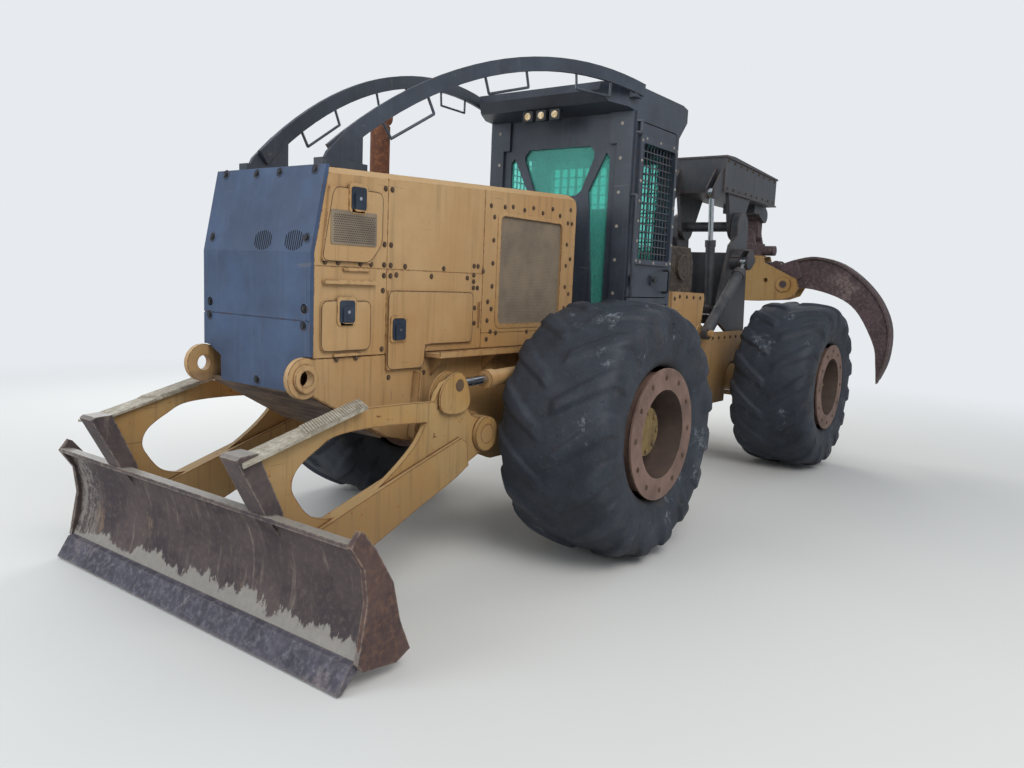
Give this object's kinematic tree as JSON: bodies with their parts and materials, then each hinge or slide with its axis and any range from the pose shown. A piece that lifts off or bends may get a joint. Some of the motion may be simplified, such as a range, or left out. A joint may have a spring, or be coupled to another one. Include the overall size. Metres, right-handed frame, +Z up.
{
  "type": "articulated grapple skidder",
  "caption": "Articulated forestry skidder with front blade, guarded cab, tilting arch, boom and a rotating log grapple held open behind it.",
  "frame": {"origin": "on the ground, under the middle of the machine's bounding box", "axes": "+X forward to the blade, +Y to the machine's left, +Z up"},
  "size_m": [8.2999, 3.5574, 3.4055],
  "materials": {
    "yellow_paint": "faded and scratched construction yellow",
    "black_paint": "satin black, dusty",
    "rusty_steel": "rust over worn paint",
    "bare_steel": "scoured by soil",
    "chrome": "polished",
    "engine_paint": "oily",
    "glass": "green tinted",
    "cab_trim": "matte",
    "lamp": "clear lens",
    "tyre_rubber": "dusty and worn",
    "wheel_paint": "rust stained"
  },
  "bodies": {
    "front": {"front_frame": "yellow_paint", "blade_mounts": "yellow_paint", "front_axle": "yellow_paint", "engine": "engine_paint", "hood": "yellow_paint", "front_guard": "black_paint", "hood_screens": "rusty_steel", "exhaust": "rusty_steel", "limb_risers": "black_paint", "steps": "yellow_paint", "cab_shell": "black_paint", "cab_roof": "black_paint", "cab_glass": "glass", "cab_screens": "black_paint", "cab_interior": "cab_trim", "lamps": "lamp"},
    "blade": {"blade": "rusty_steel", "cutting_edge": "bare_steel", "blade_arms": "yellow_paint"},
    "rear": {"rear_frame": "yellow_paint", "rear_axle": "yellow_paint", "winch": "rusty_steel"},
    "front_left_wheel": {"tyre_front_left": "tyre_rubber", "rim_front_left": "wheel_paint"},
    "front_right_wheel": {"tyre_front_right": "tyre_rubber", "rim_front_right": "wheel_paint"},
    "rear_left_wheel": {"tyre_rear_left": "tyre_rubber", "rim_rear_left": "wheel_paint"},
    "rear_right_wheel": {"tyre_rear_right": "tyre_rubber", "rim_rear_right": "wheel_paint"},
    "door_front_upper_left": {"door_front_upper_left": "yellow_paint"},
    "door_front_lower_left": {"door_front_lower_left": "yellow_paint"},
    "door_side_left": {"door_side_left": "yellow_paint"},
    "door_front_upper_right": {"door_front_upper_right": "yellow_paint"},
    "door_front_lower_right": {"door_front_lower_right": "yellow_paint"},
    "door_side_right": {"door_side_right": "yellow_paint"},
    "cab_door_left": {"cab_door_left": "black_paint"},
    "cab_door_right": {"cab_door_right": "black_paint"},
    "blade_cylinder_barrels": {"blade_cylinder_barrels": "yellow_paint"},
    "blade_cylinder_rods": {"blade_cylinder_rods": "chrome"},
    "steering_barrel_left": {"steering_barrel_left": "yellow_paint"},
    "steering_barrel_right": {"steering_barrel_right": "yellow_paint"},
    "steering_rod_left": {"steering_rod_left": "chrome"},
    "steering_rod_right": {"steering_rod_right": "chrome"},
    "winch_drum": {"winch_drum": "bare_steel"},
    "arch": {"arch": "black_paint"},
    "arch_cylinder_barrels": {"arch_cylinder_barrels": "black_paint"},
    "arch_cylinder_rods": {"arch_cylinder_rods": "chrome"},
    "boom": {"boom": "black_paint"},
    "boom_cylinder_barrels": {"boom_cylinder_barrels": "black_paint"},
    "boom_cylinder_rods": {"boom_cylinder_rods": "chrome"},
    "crosshead": {"crosshead": "rusty_steel"},
    "swing_yoke": {"swing_yoke": "rusty_steel"},
    "grapple_head": {"grapple_head": "yellow_paint"},
    "tong_left": {"tong_left": "rusty_steel"},
    "tong_right": {"tong_right": "rusty_steel"},
    "tong_cylinder_barrel": {"tong_cylinder_barrel": "black_paint"},
    "tong_cylinder_rod": {"tong_cylinder_rod": "chrome"}
  },
  "joints": [
    {"name": "articulation", "type": "hinge", "parent": "front", "child": "rear", "pos_m": [-0.495, 0, 1], "axis": [0, 0, 1], "range_deg": [-45, 45]},
    {"name": "front_left_wheel_turn", "type": "hinge", "parent": "front", "child": "front_left_wheel", "pos_m": [1.455, 1.144, 0.88], "axis": [0, 1, 0], "continuous": true},
    {"name": "front_right_wheel_turn", "type": "hinge", "parent": "front", "child": "front_right_wheel", "pos_m": [1.455, -1.144, 0.88], "axis": [0, 1, 0], "continuous": true},
    {"name": "rear_left_wheel_turn", "type": "hinge", "parent": "rear", "child": "rear_left_wheel", "pos_m": [-2.445, 1.144, 0.88], "axis": [0, 1, 0], "continuous": true},
    {"name": "rear_right_wheel_turn", "type": "hinge", "parent": "rear", "child": "rear_right_wheel", "pos_m": [-2.445, -1.144, 0.88], "axis": [0, 1, 0], "continuous": true},
    {"name": "blade_lift", "type": "hinge", "parent": "front", "child": "blade", "pos_m": [2.335, 0, 0.88], "axis": [0, 1, 0], "range_deg": [-25, 8]},
    {"name": "blade_cylinder_turn", "type": "hinge", "parent": "front", "child": "blade_cylinder_barrels", "pos_m": [1.505, 0, 1.25], "axis": [0, 1, 0], "range_deg": [-7, 3]},
    {"name": "blade_cylinder_slide", "type": "slide", "parent": "blade_cylinder_barrels", "child": "blade_cylinder_rods", "axis": [0.9994, 0, -0.036], "range_m": [-0.18, 0.07]},
    {"name": "arch_tilt", "type": "hinge", "parent": "rear", "child": "arch", "pos_m": [-2.715, 0, 1.15], "axis": [0, -1, 0], "range_deg": [0, 45]},
    {"name": "arch_cylinder_turn", "type": "hinge", "parent": "rear", "child": "arch_cylinder_barrels", "pos_m": [-1.445, 0, 1.4], "axis": [0, -1, 0], "range_deg": [0, 18]},
    {"name": "arch_cylinder_slide", "type": "slide", "parent": "arch_cylinder_barrels", "child": "arch_cylinder_rods", "axis": [-0.7724, 0, 0.6351], "range_m": [0, 0.73]},
    {"name": "boom_lift", "type": "hinge", "parent": "arch", "child": "boom", "pos_m": [-2.585, 0, 2.55], "axis": [0, -1, 0], "range_deg": [-30, 10]},
    {"name": "boom_cylinder_turn", "type": "hinge", "parent": "arch", "child": "boom_cylinder_barrels", "pos_m": [-2.135, 0, 1.64], "axis": [0, -1, 0], "range_deg": [-9, 4]},
    {"name": "boom_cylinder_slide", "type": "slide", "parent": "boom_cylinder_barrels", "child": "boom_cylinder_rods", "axis": [0.114, 0, 0.9935], "range_m": [-0.33, 0.12]},
    {"name": "crosshead_swing", "type": "hinge", "parent": "boom", "child": "crosshead", "pos_m": [-3.945, 0, 2.79], "axis": [0, 1, 0], "range_deg": [-15, 55]},
    {"name": "grapple_swing", "type": "hinge", "parent": "crosshead", "child": "swing_yoke", "pos_m": [-3.945, 0, 2.55], "axis": [1, 0, 0], "range_deg": [-15, 15]},
    {"name": "rotator_turn", "type": "hinge", "parent": "swing_yoke", "child": "grapple_head", "pos_m": [-3.945, 0, 2.29], "axis": [0, 0, 1], "range_deg": [-15, 15]},
    {"name": "tong_left_close", "type": "hinge", "parent": "grapple_head", "child": "tong_left", "pos_m": [-3.945, 0.5, 1.94], "axis": [-1, 0, 0], "range_deg": [0, 62]},
    {"name": "tong_right_close", "type": "hinge", "parent": "grapple_head", "child": "tong_right", "pos_m": [-3.945, -0.5, 1.94], "axis": [1, 0, 0], "range_deg": [0, 62]},
    {"name": "tong_cylinder_turn", "type": "hinge", "parent": "tong_right", "child": "tong_cylinder_barrel", "pos_m": [-3.945, -0.37, 2.165], "axis": [-1, 0, 0], "range_deg": [0, 62]},
    {"name": "tong_cylinder_slide", "type": "slide", "parent": "tong_cylinder_barrel", "child": "tong_cylinder_rod", "axis": [0, 1, 0], "range_m": [0, 0.56]},
    {"name": "steering_left_turn", "type": "hinge", "parent": "front", "child": "steering_barrel_left", "pos_m": [0.455, 0.23, 1.01], "axis": [0, 0, 1], "range_deg": [-3, 3]},
    {"name": "steering_left_slide", "type": "slide", "parent": "steering_barrel_left", "child": "steering_rod_left", "axis": [-1, 0, 0], "range_m": [-0.2, 0.2]},
    {"name": "steering_right_turn", "type": "hinge", "parent": "front", "child": "steering_barrel_right", "pos_m": [0.455, -0.23, 1.01], "axis": [0, 0, 1], "range_deg": [-3, 3]},
    {"name": "steering_right_slide", "type": "slide", "parent": "steering_barrel_right", "child": "steering_rod_right", "axis": [-1, 0, 0], "range_m": [-0.2, 0.2]},
    {"name": "winch_drum_turn", "type": "hinge", "parent": "rear", "child": "winch_drum", "pos_m": [-1.225, 0, 2.05], "axis": [0, 1, 0], "continuous": true},
    {"name": "door_front_upper_left_open", "type": "hinge", "parent": "front", "child": "door_front_upper_left", "pos_m": [3.475, 0.4963, 1.9], "axis": [0, 0, -1], "range_deg": [0, 110]},
    {"name": "door_front_lower_left_open", "type": "hinge", "parent": "front", "child": "door_front_lower_left", "pos_m": [3.475, 0.4963, 1.9], "axis": [0, 0, -1], "range_deg": [0, 110]},
    {"name": "door_side_left_open", "type": "hinge", "parent": "front", "child": "door_side_left", "pos_m": [2.985, 0.4963, 1.9], "axis": [0, 0, -1], "range_deg": [0, 110]},
    {"name": "cab_door_left_open", "type": "hinge", "parent": "front", "child": "cab_door_left", "pos_m": [0.532, 0.735, 2.4], "axis": [0, 0, -1], "range_deg": [0, 85]},
    {"name": "door_front_upper_right_open", "type": "hinge", "parent": "front", "child": "door_front_upper_right", "pos_m": [3.475, -0.4963, 1.9], "axis": [0, 0, 1], "range_deg": [0, 110]},
    {"name": "door_front_lower_right_open", "type": "hinge", "parent": "front", "child": "door_front_lower_right", "pos_m": [3.475, -0.4963, 1.9], "axis": [0, 0, 1], "range_deg": [0, 110]},
    {"name": "door_side_right_open", "type": "hinge", "parent": "front", "child": "door_side_right", "pos_m": [2.985, -0.4963, 1.9], "axis": [0, 0, 1], "range_deg": [0, 110]},
    {"name": "cab_door_right_open", "type": "hinge", "parent": "front", "child": "cab_door_right", "pos_m": [0.532, -0.735, 2.4], "axis": [0, 0, 1], "range_deg": [0, 85]}
  ],
  "couplings": [
    {"joint": "blade_cylinder_turn", "follows": "blade_lift", "ratio": 0.2108},
    {"joint": "blade_cylinder_slide", "follows": "blade_lift", "m_per_rad": 0.3688},
    {"joint": "arch_cylinder_turn", "follows": "arch_tilt", "ratio": 0.3604},
    {"joint": "arch_cylinder_slide", "follows": "arch_tilt", "m_per_rad": 0.9075},
    {"joint": "boom_cylinder_turn", "follows": "boom_lift", "ratio": 0.2612},
    {"joint": "boom_cylinder_slide", "follows": "boom_lift", "m_per_rad": 0.5939},
    {"joint": "tong_right_close", "follows": "tong_left_close", "ratio": 1},
    {"joint": "tong_cylinder_turn", "follows": "tong_left_close", "ratio": 1},
    {"joint": "tong_cylinder_slide", "follows": "tong_left_close", "m_per_rad": 0.4965},
    {"joint": "steering_left_turn", "follows": "articulation", "ratio": -0.0113},
    {"joint": "steering_left_slide", "follows": "articulation", "m_per_rad": 0.2137},
    {"joint": "steering_right_turn", "follows": "articulation", "ratio": 0.0113},
    {"joint": "steering_right_slide", "follows": "articulation", "m_per_rad": -0.2137}
  ]
}
